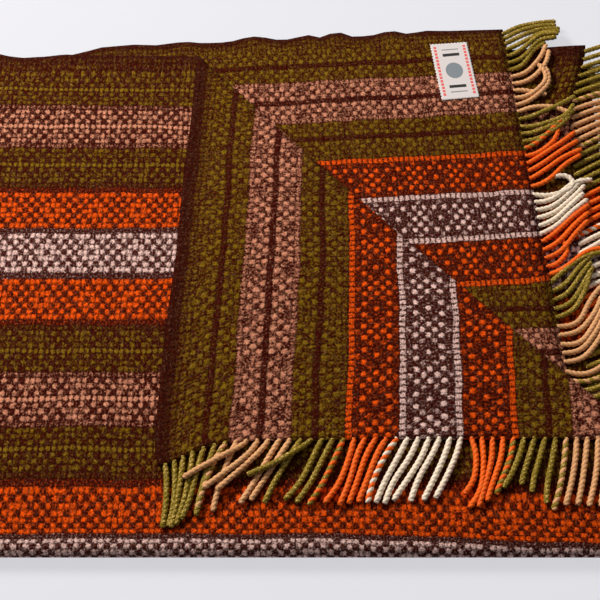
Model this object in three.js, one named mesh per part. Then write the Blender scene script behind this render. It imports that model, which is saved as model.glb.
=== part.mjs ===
// Folded two-faced wool blanket with twisted fringes.
// Millimetres, +Z up, +X to the right, +Y away from the near fold. The origin is the middle of its underside.
import * as THREE from "three";

// Cloth, as woven
const CLOTH_LENGTH = 1800;
const CLOTH_WIDTH = 1380;
const CLOTH_THICKNESS = 4;

// Folds: the cloth is folded crosswise at the left, then lengthwise along the near edge, into four layers
const LAYER_PITCH = 6;
const CROSS_BEND = LAYER_PITCH / 2;
const STACK_BEND = LAYER_PITCH;
const STACK_MIDDLE = CLOTH_THICKNESS / 2 + STACK_BEND + CROSS_BEND;
const NEAR_FOLD_Y = -301;
const LEFT_FOLD_X = -540;
const LEFT_FOLD_SKEW = THREE.MathUtils.degToRad(1.8);
const FIRST_END_X = 394;
const HALF_WIDTH = CLOTH_WIDTH / 2;
const TOP_ARC = (STACK_BEND + CROSS_BEND) * Math.PI / 2;
const TOP_FAR_Y = NEAR_FOLD_Y + HALF_WIDTH - TOP_ARC;

// The third layer is eased by this share of its width at its two ends, so that its far edge lies straight
const THIRD_LAYER_EASE = { left: -0.02, right: 0.105, leftX: LEFT_FOLD_X, rightX: 370 };

// The far right corner of the top layer is turned back over a slanting crease, and its cloth gives a little
const CREASE_TIP = new THREE.Vector2(-136.5, TOP_FAR_Y);
const CREASE_FOOT = new THREE.Vector2(FIRST_END_X, -179);
const CREASE_BEND = 4;
const FLAP_REST = 6.6;
const FLAP_SETTLES_OVER = 60;
const FLAP_GIVE = new THREE.Vector2(-6, -30).divideScalar(382);

// The far selvages are a little wavy, and the second layer droops where nothing carries it
const SELVAGE_WAVE = { height: 3, length: 92, fadesOver: 50 };
const DROOP = { depth: 6, fromY: 402, toY: 442 };

// Soft swells of the stack, highest in the top layers and none in the bottom one
const SWELLS = [
  { x: -340, y: -70, spreadX: 170, spreadY: 110, height: 3.0 },
  { x: -60, y: 30, spreadX: 140, spreadY: 160, height: 4.5 },
  { x: 150, y: -70, spreadX: 120, spreadY: 110, height: 3.0 },
  { x: -420, y: 240, spreadX: 150, spreadY: 90, height: 2.5 },
  { x: 60, y: -250, spreadX: 240, spreadY: 50, height: 2.0 },
];
const TOP_LAYER_RISE = 3 * LAYER_PITCH;

// Fringes: the narrow strip that holds the roots, and the strands
const STRIP_GAP = 0.3;
const STRIP_WIDTH = 4;
const STRAND_PITCH = 11.7;
const STRAND_WIDTH = 5;
const STRAND_HEIGHT = CLOTH_THICKNESS;
const STRAND_LENGTH = 86;
const STRAND_STEPS = 3;

// One row for each stretch of fringe. Across runs from the far selvage, drop is how far the tips sink, and
// lean is the turn of the strands' tips in degrees, anticlockwise from above, at places across the cloth.
const FRINGES = [
  {
    name: "fringe_turned_corner", end: "first", from: 3, to: 541, drop: -1.1,
    leans: [
      { across: 0, lean: -4 }, { across: 60, lean: -14 }, { across: 140, lean: -28 },
      { across: 330, lean: -26 }, { across: 400, lean: -19 }, { across: 470, lean: -12 },
      { across: 541, lean: -9 },
    ],
  },
  {
    name: "fringe_top_layer", end: "first", from: 568, to: 687, drop: -7.5,
    leans: [{ across: 568, lean: -6 }, { across: 687, lean: 4 }],
  },
  {
    name: "fringe_bottom_layer", end: "first", from: 708, to: 1377, drop: 0,
    leans: [{ across: 708, lean: 4 }, { across: 1000, lean: 16 }, { across: 1377, lean: 22 }],
  },
  {
    name: "fringe_second_layer", end: "second", from: 3, to: 736, drop: -0.5,
    leans: [
      { across: 0, lean: 26 }, { across: 160, lean: 44 },
      { across: 520, lean: 44 }, { across: 736, lean: 20 },
    ],
  },
  {
    name: "fringe_third_layer", end: "second", from: 754, to: 1377, drop: -0.5,
    leans: [{ across: 754, lean: 10 }, { across: 1000, lean: 28 }, { across: 1377, lean: 30 }],
  },
];

// Sewn-on label of the second layer, placed from the second end and the far selvage
const LABEL = { fromEnd: 77, across: 78, width: 52, height: 99, turn: -2.8 };
const LABEL_THICKNESS = 0.8;
const LABEL_GAP = 0.3;
const LABEL_STEPS = 4;

const smooth = THREE.MathUtils.smoothstep;
const lerp = THREE.MathUtils.lerp;

// A point at a signed distance from a fold's line: how far from the line it comes to lie, and its rise
function bent(distance, radius) {
  const quarter = radius * Math.PI / 2;
  if (Math.abs(distance) >= quarter) {
    return { reach: Math.abs(distance), rise: Math.sign(distance) * radius };
  }
  const angle = distance / radius;
  return { reach: quarter - radius * Math.cos(angle), rise: radius * Math.sin(angle) };
}

// Crosswise fold along a slightly skewed line: x and p (distance beyond the near fold) in the doubled cloth
function foldCrosswise(x, p) {
  const cos = Math.cos(LEFT_FOLD_SKEW);
  const sin = Math.sin(LEFT_FOLD_SKEW);
  const { reach, rise } = bent((x - LEFT_FOLD_X) * cos + p * sin, CROSS_BEND);
  const run = p * cos - (x - LEFT_FOLD_X) * sin;
  return { x: LEFT_FOLD_X + reach * cos - run * sin, p: reach * sin + run * cos, rise };
}

// Lengthwise fold of the doubled cloth, whose near half goes under
function foldLengthwise({ x, p, rise }) {
  const radius = STACK_BEND + rise;
  const fold = bent(p, radius);
  const inner = (CROSS_BEND - rise) / (2 * CROSS_BEND);
  let beyond = fold.reach - radius * Math.PI / 2;
  if (p < 0 && beyond > 0) {
    const e = THIRD_LAYER_EASE;
    const share = (x - e.leftX) / (e.rightX - e.leftX);
    beyond *= 1 + inner * lerp(e.left, e.right, share);
  }
  const y = NEAR_FOLD_Y + beyond;
  const droop = p > 0 ? inner * DROOP.depth * smooth(y, DROOP.fromY, DROOP.toY) : 0;
  return new THREE.Vector3(x, y, STACK_MIDDLE + fold.rise - droop);
}

// The turned corner of the top layer
const CREASE_RUN = CREASE_FOOT.clone().sub(CREASE_TIP).normalize();
const CREASE_SIDE = new THREE.Vector2(-CREASE_RUN.y, CREASE_RUN.x);

function beyondCrease(x, y) {
  return (x - CREASE_TIP.x) * CREASE_SIDE.x + (y - CREASE_TIP.y) * CREASE_SIDE.y;
}

function turnCorner(point) {
  const distance = beyondCrease(point.x, point.y);
  const quarter = CREASE_BEND * Math.PI / 2;
  if (distance <= -quarter) {
    return point;
  }
  const { reach, rise } = bent(distance, CREASE_BEND);
  const back = distance + reach;
  const given = Math.max(0, distance);
  const settled = (2 * CREASE_BEND - FLAP_REST) * smooth(distance, quarter, FLAP_SETTLES_OVER);
  point.x += -back * CREASE_SIDE.x + given * FLAP_GIVE.x;
  point.y += -back * CREASE_SIDE.y + given * FLAP_GIVE.y;
  point.z += CREASE_BEND + rise - settled;
  return point;
}

// Middle of the cloth's thickness: along runs from the first end, across from the far selvage
function clothPoint(along, across) {
  const fade = 1 - smooth(across, 0, SELVAGE_WAVE.fadesOver);
  const wave = SELVAGE_WAVE.height * Math.sin(2 * Math.PI * along / SELVAGE_WAVE.length) * fade;
  const doubled = foldCrosswise(FIRST_END_X - along, HALF_WIDTH - across + wave);
  const point = foldLengthwise(doubled);
  return doubled.rise > 0 && doubled.p > 0 ? turnCorner(point) : point;
}

// Unit normal of the cloth, on its outer face
function clothNormal(along, across) {
  const step = 0.05;
  const lengthwise = clothPoint(along + step, across).sub(clothPoint(along - step, across));
  const crosswise = clothPoint(along, across + step).sub(clothPoint(along, across - step));
  return lengthwise.cross(crosswise).normalize();
}

function clothOffset(along, across, offset) {
  return clothPoint(along, across).addScaledVector(clothNormal(along, across), offset);
}

// Swells lift a point by its height in the stack, and leave the bottom layer flat
function swelled(point) {
  const share = Math.max(0, point.z - CLOTH_THICKNESS) / TOP_LAYER_RISE;
  for (const s of SWELLS) {
    const spread = ((point.x - s.x) / s.spreadX) ** 2 + ((point.y - s.y) / s.spreadY) ** 2;
    point.z += share * s.height * Math.exp(-spread);
  }
  return point;
}

function meshFrom(name, points, triangles, color, roughness) {
  const geometry = new THREE.BufferGeometry();
  geometry.setAttribute("position", new THREE.Float32BufferAttribute(points.flatMap((p) => p.toArray()), 3));
  geometry.setIndex(triangles.flat());
  geometry.computeVertexNormals();
  const mesh = new THREE.Mesh(geometry, new THREE.MeshStandardMaterial({ color, roughness, metalness: 0 }));
  mesh.name = name;
  return mesh;
}

function quad(a, b, c, d) {
  return [[a, b, d], [b, c, d]];
}

// A grid of sheet points with two faces and a rim; pointAt(column, row, side) has side 1 on the outer face
function sheetMesh(name, columns, rows, pointAt, color, roughness) {
  const points = [];
  for (const side of [1, -1]) {
    for (let c = 0; c < columns; c += 1) {
      for (let r = 0; r < rows; r += 1) {
        points.push(pointAt(c, r, side));
      }
    }
  }
  const outer = (c, r) => c * rows + r;
  const inner = (c, r) => columns * rows + outer(c, r);
  const triangles = [];
  for (let c = 0; c + 1 < columns; c += 1) {
    for (let r = 0; r + 1 < rows; r += 1) {
      triangles.push(...quad(outer(c, r), outer(c + 1, r), outer(c + 1, r + 1), outer(c, r + 1)));
      triangles.push([inner(c, r), inner(c, r + 1), inner(c + 1, r)]);
      triangles.push([inner(c + 1, r), inner(c, r + 1), inner(c + 1, r + 1)]);
    }
  }
  const rim = [];
  for (let c = 0; c + 1 < columns; c += 1) {
    rim.push([c, 0]);
  }
  for (let r = 0; r + 1 < rows; r += 1) {
    rim.push([columns - 1, r]);
  }
  for (let c = columns - 1; c > 0; c -= 1) {
    rim.push([c, rows - 1]);
  }
  for (let r = rows - 1; r > 0; r -= 1) {
    rim.push([0, r]);
  }
  rim.forEach((here, k) => {
    const next = rim[(k + 1) % rim.length];
    triangles.push(...quad(outer(...next), outer(...here), inner(...here), inner(...next)));
  });
  return meshFrom(name, points, triangles, color, roughness);
}

// Grid of the cloth: steps between its folds, and the places of the lines that follow each fold
const CORNER_STEPS = 14;
const LEFT_STEPS = 7;
const UNDER_STEPS = 12;
const OPEN_STEPS = 3;
const NEAR_HALF_STEPS = 8;
const CROSS_FOLD_LINES = [4.8, 3.2, 1.6, 0, -1.6, -3.2, -4.8];
const NEAR_FOLD_LINES = [22, 14.2, 9.4, 4.8, 3.2, 1.6, 0, -1.6, -3.2, -4.8, -9.4, -14.2, -22];
const CREASE_LINES = [0, 3.6, 8.2, 34, 75];

const FOOT_P = CREASE_FOOT.y - NEAR_FOLD_Y + TOP_ARC;

function rowPlaces() {
  const places = [];
  for (let k = 0; k <= CORNER_STEPS; k += 1) {
    places.push(lerp(HALF_WIDTH, FOOT_P, k / CORNER_STEPS));
  }
  for (let k = 1; k < OPEN_STEPS; k += 1) {
    places.push(lerp(FOOT_P, NEAR_FOLD_LINES[0], k / OPEN_STEPS));
  }
  places.push(...NEAR_FOLD_LINES);
  for (let k = 1; k <= NEAR_HALF_STEPS; k += 1) {
    places.push(lerp(NEAR_FOLD_LINES.at(-1), -HALF_WIDTH, k / NEAR_HALF_STEPS));
  }
  return places;
}

const ROWS = rowPlaces();
const LAST_TOP_ROW = CORNER_STEPS + OPEN_STEPS;
const FIRST_CROSS_LINE = CORNER_STEPS + LEFT_STEPS;
const LAST_CROSS_LINE = FIRST_CROSS_LINE + CROSS_FOLD_LINES.length - 1;
const COLUMNS = LAST_CROSS_LINE + UNDER_STEPS + 1;

// Lines beside the crease draw close to it; on an edge of the cloth a place slides along that edge
function drawnToCrease(column, row, x, p) {
  const line = CORNER_STEPS - column - row;
  if (row > LAST_TOP_ROW || Math.abs(line) >= CREASE_LINES.length) {
    return { x, p };
  }
  const wanted = Math.sign(line) * CREASE_LINES[Math.abs(line)];
  const move = wanted - beyondCrease(x, p - TOP_ARC + NEAR_FOLD_Y);
  const sideways = column / (column + row);
  return { x: x + sideways * move / CREASE_SIDE.x, p: p + (1 - sideways) * move / CREASE_SIDE.y };
}

function clothPlace(column, row) {
  const p = ROWS[row];
  const foldX = (line) => LEFT_FOLD_X - p * Math.tan(LEFT_FOLD_SKEW) + line / Math.cos(LEFT_FOLD_SKEW);
  let place = { x: 0, p };
  if (column <= CORNER_STEPS) {
    const x = lerp(FIRST_END_X, CREASE_TIP.x, column / CORNER_STEPS);
    place = drawnToCrease(column, row, x, p);
  } else if (column < FIRST_CROSS_LINE) {
    const x = lerp(CREASE_TIP.x, foldX(CROSS_FOLD_LINES[0]), (column - CORNER_STEPS) / LEFT_STEPS);
    place = drawnToCrease(column, row, x, p);
  } else if (column <= LAST_CROSS_LINE) {
    place.x = foldX(CROSS_FOLD_LINES[column - FIRST_CROSS_LINE]);
  } else {
    const share = (column - LAST_CROSS_LINE) / UNDER_STEPS;
    place.x = lerp(foldX(CROSS_FOLD_LINES.at(-1)), FIRST_END_X - CLOTH_LENGTH, share);
    const slant = (LEFT_FOLD_X - place.x) * Math.tan(2 * LEFT_FOLD_SKEW);
    place.p -= slant * (1 - Math.abs(p) / HALF_WIDTH);
  }
  return { along: FIRST_END_X - place.x, across: HALF_WIDTH - place.p };
}

function clothMesh() {
  const pointAt = (column, row, side) => {
    const { along, across } = clothPlace(column, row);
    return swelled(clothOffset(along, across, side * CLOTH_THICKNESS / 2));
  };
  return sheetMesh("blanket", COLUMNS, ROWS.length, pointAt, "#6b4a1e", 0.95);
}

function leanAt(leans, across) {
  const next = leans.findIndex((row) => row.across >= across);
  if (next <= 0) {
    return leans.at(next).lean;
  }
  const before = leans[next - 1];
  const after = leans[next];
  return lerp(before.lean, after.lean, (across - before.across) / (after.across - before.across));
}

// A fringe is one strip with square roots in its outer side, each root drawn out into a strand
function fringeMesh(fringe) {
  const outward = fringe.end === "first" ? -1 : 1;
  const endAt = fringe.end === "first" ? 0 : CLOTH_LENGTH;
  const count = Math.floor((fringe.to - fringe.from) / STRAND_PITCH);
  const pitch = (fringe.to - fringe.from) / count;
  const points = [];
  const triangles = [];
  const add = (point) => points.push(point) - 1;
  const facing = (a, b, c, d) => triangles.push(...(outward > 0 ? quad(a, b, c, d) : quad(d, c, b, a)));
  const half = CLOTH_THICKNESS / 2;
  const stations = [];
  for (let k = 0; k < count; k += 1) {
    const middle = fringe.from + (k + 0.5) * pitch;
    for (const across of [middle - STRAND_WIDTH / 2, middle + STRAND_WIDTH / 2]) {
      const near = endAt + outward * STRIP_GAP;
      const far = endAt + outward * (STRIP_GAP + STRIP_WIDTH);
      stations.push({
        innerTop: add(clothOffset(near, across, half)),
        innerBottom: add(clothOffset(near, across, -half)),
        outerTop: add(clothOffset(far, across, half)),
        outerBottom: add(clothOffset(far, across, -half)),
      });
    }
  }
  stations.slice(1).forEach((s, k) => {
    const b = stations[k];
    facing(b.innerTop, b.outerTop, s.outerTop, s.innerTop);
    facing(b.innerBottom, s.innerBottom, s.outerBottom, b.outerBottom);
    facing(b.innerBottom, b.innerTop, s.innerTop, s.innerBottom);
    if (k % 2 === 1) {
      facing(b.outerTop, b.outerBottom, s.outerBottom, s.outerTop);
    }
  });
  const first = stations[0];
  const last = stations.at(-1);
  facing(first.innerTop, first.innerBottom, first.outerBottom, first.outerTop);
  facing(last.innerBottom, last.innerTop, last.outerTop, last.outerBottom);
  for (let k = 0; k < count; k += 1) {
    const across = fringe.from + (k + 0.5) * pitch;
    const start = stations[2 * k];
    const stop = stations[2 * k + 1];
    const root = [start.outerTop, stop.outerTop, stop.outerBottom, start.outerBottom];
    strand(fringe, endAt, outward, across, root);
  }

  function strand(row, end, out, across, root) {
    const far = end + out * (STRIP_GAP + STRIP_WIDTH);
    const centre = clothPoint(far, across);
    const up = clothNormal(far, across).z > 0 ? 1 : -1;
    const heading = centre.clone().sub(clothPoint(end, across)).setZ(0).normalize();
    const lean = THREE.MathUtils.degToRad(leanAt(row.leans, across));
    const startZ = centre.z;
    let ring = root;
    for (let step = 1; step <= STRAND_STEPS; step += 1) {
      const turn = lean * (step - 0.5) / (STRAND_STEPS - 0.5);
      const run = heading.clone().applyAxisAngle(new THREE.Vector3(0, 0, 1), turn);
      centre.addScaledVector(run, STRAND_LENGTH / STRAND_STEPS);
      centre.z = startZ + row.drop * smooth(step / STRAND_STEPS, 0, 1);
      const side = new THREE.Vector3(-run.y, run.x, 0).multiplyScalar(out * up * STRAND_WIDTH / 2);
      const rise = new THREE.Vector3(0, 0, up * STRAND_HEIGHT / 2);
      const corner = (s, r) => add(centre.clone().addScaledVector(side, s).addScaledVector(rise, r));
      const next = [corner(-1, 1), corner(1, 1), corner(1, -1), corner(-1, -1)];
      for (let e = 0; e < 4; e += 1) {
        const f = (e + 1) % 4;
        facing(ring[e], next[e], next[f], ring[f]);
      }
      ring = next;
    }
    facing(ring[3], ring[2], ring[1], ring[0]);
  }

  return meshFrom(fringe.name, points.map(swelled), triangles, "#7a6a24", 0.9);
}

function labelMesh() {
  const turn = THREE.MathUtils.degToRad(LABEL.turn);
  const columns = [-LABEL.width / 2, 0, LABEL.width / 2];
  const pointAt = (column, row, side) => {
    const u = columns[column];
    const v = lerp(-LABEL.height / 2, LABEL.height / 2, row / LABEL_STEPS);
    const along = CLOTH_LENGTH - LABEL.fromEnd + u * Math.cos(turn) - v * Math.sin(turn);
    const across = LABEL.across + u * Math.sin(turn) + v * Math.cos(turn);
    const lower = CLOTH_THICKNESS / 2 + LABEL_GAP;
    return swelled(clothOffset(along, across, side > 0 ? -lower : -lower - LABEL_THICKNESS));
  };
  return sheetMesh("sewn_label", columns.length, LABEL_STEPS + 1, pointAt, "#e8e4da", 0.8);
}

const blanket = new THREE.Group();
blanket.add(clothMesh(), ...FRINGES.map(fringeMesh), labelMesh());

// Bring the middle of the underside to the origin
const box = new THREE.Box3().setFromObject(blanket);
blanket.position.set(-(box.min.x + box.max.x) / 2, -(box.min.y + box.max.y) / 2, -box.min.z);

export default blanket;
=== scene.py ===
# %% [markdown]
# This lesson dresses a folded wool blanket for a picture. The folded cloth, its fringes and its label are
# already drawn as plain solids in one shared frame, so we load that frame first. Everything we add sits on
# those solids, and the frame tells us where they are.

# %% Load the shared frame
import math
from functools import partial

import bpy
import numpy as np
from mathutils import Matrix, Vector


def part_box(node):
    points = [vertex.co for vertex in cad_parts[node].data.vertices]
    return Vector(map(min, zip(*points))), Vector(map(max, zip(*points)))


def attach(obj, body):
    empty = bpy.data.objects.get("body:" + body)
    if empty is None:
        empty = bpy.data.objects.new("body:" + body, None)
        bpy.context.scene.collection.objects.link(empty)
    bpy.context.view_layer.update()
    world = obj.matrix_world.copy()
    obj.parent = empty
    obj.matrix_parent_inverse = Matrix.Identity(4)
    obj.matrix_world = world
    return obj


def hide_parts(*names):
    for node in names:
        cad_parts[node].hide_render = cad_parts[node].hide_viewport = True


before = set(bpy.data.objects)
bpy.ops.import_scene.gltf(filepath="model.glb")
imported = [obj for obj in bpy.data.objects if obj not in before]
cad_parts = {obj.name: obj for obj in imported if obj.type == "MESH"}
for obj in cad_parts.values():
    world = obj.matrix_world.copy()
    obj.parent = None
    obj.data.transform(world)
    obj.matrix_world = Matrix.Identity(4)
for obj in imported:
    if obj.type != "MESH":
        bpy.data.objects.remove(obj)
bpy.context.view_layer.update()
MM = 0.001
chance = np.random.default_rng(11)

# %% [markdown]
# The blanket is one length of cloth, 1.8 m long and 1.38 m wide. It was folded crosswise at the left, then
# lengthwise along the near edge, and one far corner of the top layer was turned back. We repeat those three
# folds as functions, so that any place on the flat cloth can be carried to its place in the folded stack.
# The far selvage was never straight: a short table says how far it is pulled in, by the distance along the
# cloth. All of these sizes are in millimetres on the folding plan.

# %% Sizes of the cloth and its folds
CLOTH_LENGTH = 1800.0
CLOTH_WIDTH = 1380.0
CLOTH_THICKNESS = 4.0
CROSS_BEND = 3.0
STACK_BEND = 6.0
STACK_MIDDLE = 11.0
NEAR_FOLD_Y = -301.0
LEFT_FOLD_X = -540.0
LEFT_FOLD_SKEW = math.radians(1.8)
FIRST_END_X = 394.0
HALF_WIDTH = CLOTH_WIDTH / 2
TOP_ARC = (STACK_BEND + CROSS_BEND) * math.pi / 2
TOP_FAR_Y = NEAR_FOLD_Y + HALF_WIDTH - TOP_ARC
THIRD_EASE_LEFT = -0.02
THIRD_EASE_RIGHT = 0.105
THIRD_EASE_TO_X = 370.0
CREASE_TIP = np.array([-136.5, TOP_FAR_Y])
CREASE_FOOT = np.array([FIRST_END_X, -179.0])
CREASE_BEND = 4.0
CREASE_QUARTER = CREASE_BEND * math.pi / 2
CREASE_RUN = (CREASE_FOOT - CREASE_TIP) / np.linalg.norm(CREASE_FOOT - CREASE_TIP)
CREASE_SIDE = np.array([-CREASE_RUN[1], CREASE_RUN[0]])
FLAP_REST = 6.6
FLAP_SETTLES_OVER = 60.0
FLAP_DEPTH = 382.0
FLAP_GIVE = np.array([-6.0, -30.0]) / FLAP_DEPTH
EDGE_PULL_FADES = 50.0
EDGE_PULLS = (
    (0, 8.0), (14, 3.5), (35, 0.5), (140, -1.0), (230, 1.2), (330, -1.0), (430, 0.8), (530, 0.0),
    (690, -2.0), (715, -3.5), (740, 0.5), (770, 3.0), (790, 0.0), (810, -6.0), (900, 0.0),
    (1080, 20.0), (1200, 19.0), (1225, 13.0), (1246, 7.0), (1290, 5.0), (1320, 8.0), (1360, 4.0),
    (1384, 8.5), (1420, 9.0), (1442, 2.0), (1462, -1.0), (1480, 8.0), (1500, 9.0), (1530, 1.5),
    (1546, 8.0), (1560, 0.5), (1573, -2.5), (1588, 8.5), (1616, 9.0), (1632, 2.0), (1650, 0.5),
    (1671, 9.5), (1687, 1.5), (1720, 4.5), (1800, 6.0),
)
FLAP_CORNER_REACH = 27.0
FLAP_CORNER_ALONG = 240.0
FLAP_CORNER_ACROSS = 52.0
CORNER_REACH = np.array([26.0, 10.0])
CORNER_REACH_ALONG = 75.0
CORNER_REACH_ACROSS = 60.0
CREASE_SAG = 8.0
CREASE_SAG_WIDTH = 90.0
CREASE_SAG_FLATNESS = 0.6
DROOP_DEPTH = 6.0
DROOP_FROM_Y = 402.0
DROOP_TO_Y = 442.0
TOP_LAYER_RISE = 18.0
TOP, FLAP, SECOND, THIRD, BOTTOM = range(5)

# The frame's origin is the middle of the underside, so the plan is shifted to match the solid's box
blanket_low, blanket_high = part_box("blanket")
NEAR_FOLD_FRONT = NEAR_FOLD_Y - STACK_BEND - CROSS_BEND - CLOTH_THICKNESS / 2
PLAN_SHIFT = np.array([blanket_high[0] / MM - FIRST_END_X, blanket_low[1] / MM - NEAR_FOLD_FRONT, 0.0])
print("plan shift", PLAN_SHIFT.round(2), "mm")


# %% Fold the flat cloth into the stack
def smooth(value, low, high):
    """A soft step: 0 up to low, 1 from high on."""
    share = np.clip((value - low) / (high - low), 0, 1)
    return share * share * (3 - 2 * share)


def bent(distance, radius):
    """Cloth that turns back round a bend: how far it lies from the bend, and how high."""
    angle = np.clip(distance / radius, -math.pi / 2, math.pi / 2)
    quarter = radius * math.pi / 2
    reach = np.where(np.abs(distance) >= quarter, np.abs(distance), quarter - radius * np.cos(angle))
    return reach, radius * np.sin(angle)


def beyond_crease(x, y):
    """Distance of a place past the slanting crease, towards the far right corner."""
    return (x - CREASE_TIP[0]) * CREASE_SIDE[0] + (y - CREASE_TIP[1]) * CREASE_SIDE[1]


def crease_sag(x, y):
    """The crease is not quite straight: its middle has slipped a little towards the near fold."""
    length = np.linalg.norm(CREASE_FOOT - CREASE_TIP)
    share = ((x - CREASE_TIP[0]) * CREASE_RUN[0] + (y - CREASE_TIP[1]) * CREASE_RUN[1]) / length
    near = np.exp(-((beyond_crease(x, y) / CREASE_SAG_WIDTH) ** 2))
    return -CREASE_SAG * np.sin(math.pi * np.clip(share, 0, 1)) ** CREASE_SAG_FLATNESS * near


def folded(along, across):
    """Middle of the cloth at these distances from its first end and far selvage, and the layer it is in."""
    pull = np.interp(along, *zip(*EDGE_PULLS)) * (1 - smooth(across, 0, EDGE_PULL_FADES))
    hang = FLAP_CORNER_REACH * np.exp(-((across / FLAP_CORNER_ACROSS) ** 2))
    hang = hang * (1 - smooth(along, 0, FLAP_CORNER_ALONG))
    from_fold = FIRST_END_X - along + hang - LEFT_FOLD_X
    p = HALF_WIDTH - across - pull
    cos = math.cos(LEFT_FOLD_SKEW)
    sin = math.sin(LEFT_FOLD_SKEW)
    reach, rise = bent(from_fold * cos + p * sin, CROSS_BEND)
    run = p * cos - from_fold * sin
    x = LEFT_FOLD_X + reach * cos - run * sin
    p = reach * sin + run * cos
    radius = STACK_BEND + rise
    reach, height = bent(p, radius)
    inner = (CROSS_BEND - rise) / (2 * CROSS_BEND)
    beyond = reach - radius * math.pi / 2
    share = (x - LEFT_FOLD_X) / (THIRD_EASE_TO_X - LEFT_FOLD_X)
    ease = 1 + inner * (THIRD_EASE_LEFT + (THIRD_EASE_RIGHT - THIRD_EASE_LEFT) * share)
    y = NEAR_FOLD_Y + np.where((p < 0) & (beyond > 0), beyond * ease, beyond)
    droop = np.where(p > 0, inner * DROOP_DEPTH * smooth(y, DROOP_FROM_Y, DROOP_TO_Y), 0)
    z = STACK_MIDDLE + height - droop
    distance = beyond_crease(x, y)
    turned = (rise > 0) & (p > 0) & (distance > -CREASE_QUARTER)
    reach, lift = bent(distance, CREASE_BEND)
    given = np.maximum(0, distance)
    settled = (2 * CREASE_BEND - FLAP_REST) * smooth(distance, CREASE_QUARTER, FLAP_SETTLES_OVER)
    layer = np.where(p > 0, np.where(rise > 0, TOP, SECOND), np.where(rise > 0, BOTTOM, THIRD))
    layer = np.where(turned & (distance > 0), FLAP, layer)
    x = np.where(turned, x - (distance + reach) * CREASE_SIDE[0] + given * FLAP_GIVE[0], x)
    y = np.where(turned, y - (distance + reach) * CREASE_SIDE[1] + given * FLAP_GIVE[1], y)
    z = np.where(turned, z + CREASE_BEND + lift - settled, z)
    sag = np.where((layer == TOP) | (layer == FLAP), crease_sag(x, y), 0)
    from_corner = ((CLOTH_LENGTH - along) / CORNER_REACH_ALONG) ** 2
    from_corner = from_corner + ((CLOTH_WIDTH - across) / CORNER_REACH_ACROSS) ** 2
    drawn_out = np.where(layer == THIRD, np.exp(-from_corner), 0)
    x = x + sag * CREASE_SIDE[0] + drawn_out * CORNER_REACH[0]
    y = y + sag * CREASE_SIDE[1] + drawn_out * CORNER_REACH[1]
    return np.stack([x, y, z], -1), layer


def outer_normal(along, across):
    """Direction that the outer face of the cloth looks in."""
    step = 0.05
    lengthwise = folded(along + step, across)[0] - folded(along - step, across)[0]
    crosswise = folded(along, across + step)[0] - folded(along, across - step)[0]
    normal = np.cross(lengthwise, crosswise)
    return normal / np.linalg.norm(normal, axis=-1, keepdims=True)


# %% [markdown]
# Folded wool never lies dead flat. Broad swells lift the middle of the stack, as on the solid, and narrow
# ridges and troughs run over single layers where the cloth was pulled or pressed. Each is placed one by
# one, with its own sizes, because real creases are never alike.

# %% Swells of the stack and creases of single layers
def named_rows(columns, *rows):
    """Rows with named columns."""
    return [dict(zip(columns.split(), row)) for row in rows]


SWELLS = named_rows(
    "x y spread_x spread_y height",
    (-340, -70, 170, 110, 3.0),
    (-60, 30, 140, 160, 4.5),
    (150, -70, 120, 110, 3.0),
    (-420, 240, 150, 90, 2.5),
    (60, -250, 240, 50, 2.0),
)
CREASES = named_rows(
    "layer start end width height",
    (TOP, (-390, 330), (-250, 250), 26, 1.6),
    (TOP, (-330, 360), (-170, 330), 18, -1.2),
    (TOP, (-380, 120), (-190, 105), 22, 1.0),
    (TOP, (-380, -10), (-200, 20), 30, -1.4),
    (TOP, (-350, -200), (-190, -150), 30, 1.4),
    (TOP, (-300, -262), (-90, -250), 20, -1.0),
    (TOP, (0, -285), (240, -270), 18, 1.0),
    (FLAP, (-120, 140), (-60, -120), 26, 1.3),
    (FLAP, (20, 120), (60, -100), 30, -1.2),
    (FLAP, (150, -20), (190, -150), 24, 1.2),
    (SECOND, (40, 330), (230, 300), 26, 1.4),
    (SECOND, (120, 190), (280, 200), 24, -1.2),
    (SECOND, (220, 90), (300, 20), 26, 1.2),
)


def swell_at(x, y):
    total = np.zeros(np.shape(x))
    for swell in SWELLS:
        across = ((x - swell["x"]) / swell["spread_x"]) ** 2
        total += swell["height"] * np.exp(-across - ((y - swell["y"]) / swell["spread_y"]) ** 2)
    return total


def crease_at(x, y, layer):
    total = np.zeros(np.shape(x))
    for crease in CREASES:
        start = np.array(crease["start"], float)
        run = np.array(crease["end"], float) - start
        share = np.clip(((x - start[0]) * run[0] + (y - start[1]) * run[1]) / (run @ run), 0, 1)
        away = np.hypot(x - start[0] - share * run[0], y - start[1] - share * run[1])
        ridge = crease["height"] * np.exp(-(away / crease["width"]) ** 2)
        total += np.where(layer == crease["layer"], ridge, 0)
    return total


def lifted(points, layer):
    """Points of the plan with the swells and creases added, in metres in the shared frame."""
    x, y, z = np.moveaxis(points, -1, 0)
    share = np.maximum(0, z - CLOTH_THICKNESS) / TOP_LAYER_RISE
    z = z + share * swell_at(x, y) + crease_at(x, y, layer)
    return (np.stack([x, y, z], -1) + PLAN_SHIFT) * MM


def cloth_surface(along, across, offset):
    """Points at this offset from the middle of the folded cloth, towards its outer face."""
    points, layer = folded(along, across)
    return lifted(points + outer_normal(along, across) * offset, layer)


# %% [markdown]
# The cloth is modelled as a fine grid with two faces. Its lines follow the folds: they crowd together
# around the left fold, the near fold and the slanting crease of the turned corner, and stay wide where
# the cloth is flat. That keeps the bends round without wasting faces on flat cloth.

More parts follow.
